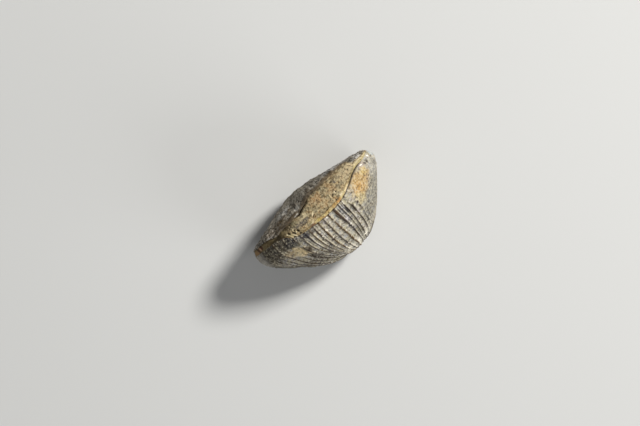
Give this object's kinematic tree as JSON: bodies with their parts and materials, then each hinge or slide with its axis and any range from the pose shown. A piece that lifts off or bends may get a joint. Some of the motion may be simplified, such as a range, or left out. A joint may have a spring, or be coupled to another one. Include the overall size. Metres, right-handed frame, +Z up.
{
  "type": "fossil clam",
  "caption": "Fossil bivalved shell with a deep ribbed valve, a shallow worn valve and sediment filling the gape, standing on its flat hinge area.",
  "frame": {"origin": "middle of the footprint box, on the surface that the shell stands on", "axes": "+X along the hinge towards the more pointed end, +Y from the ribbed valve towards the shallow valve, +Z up from the hinge to the open margin"},
  "size_m": [0.034, 0.0182, 0.0201],
  "materials": {
    "ribbed_shell": "worn, with ochre-stained grooves",
    "worn_shell": "rough, mottled grey",
    "sediment": "granular, tan to ochre"
  },
  "bodies": {
    "root": {"ribbed_valve": "ribbed_shell", "shallow_valve": "worn_shell", "sediment_fill": "sediment"}
  },
  "joints": []
}
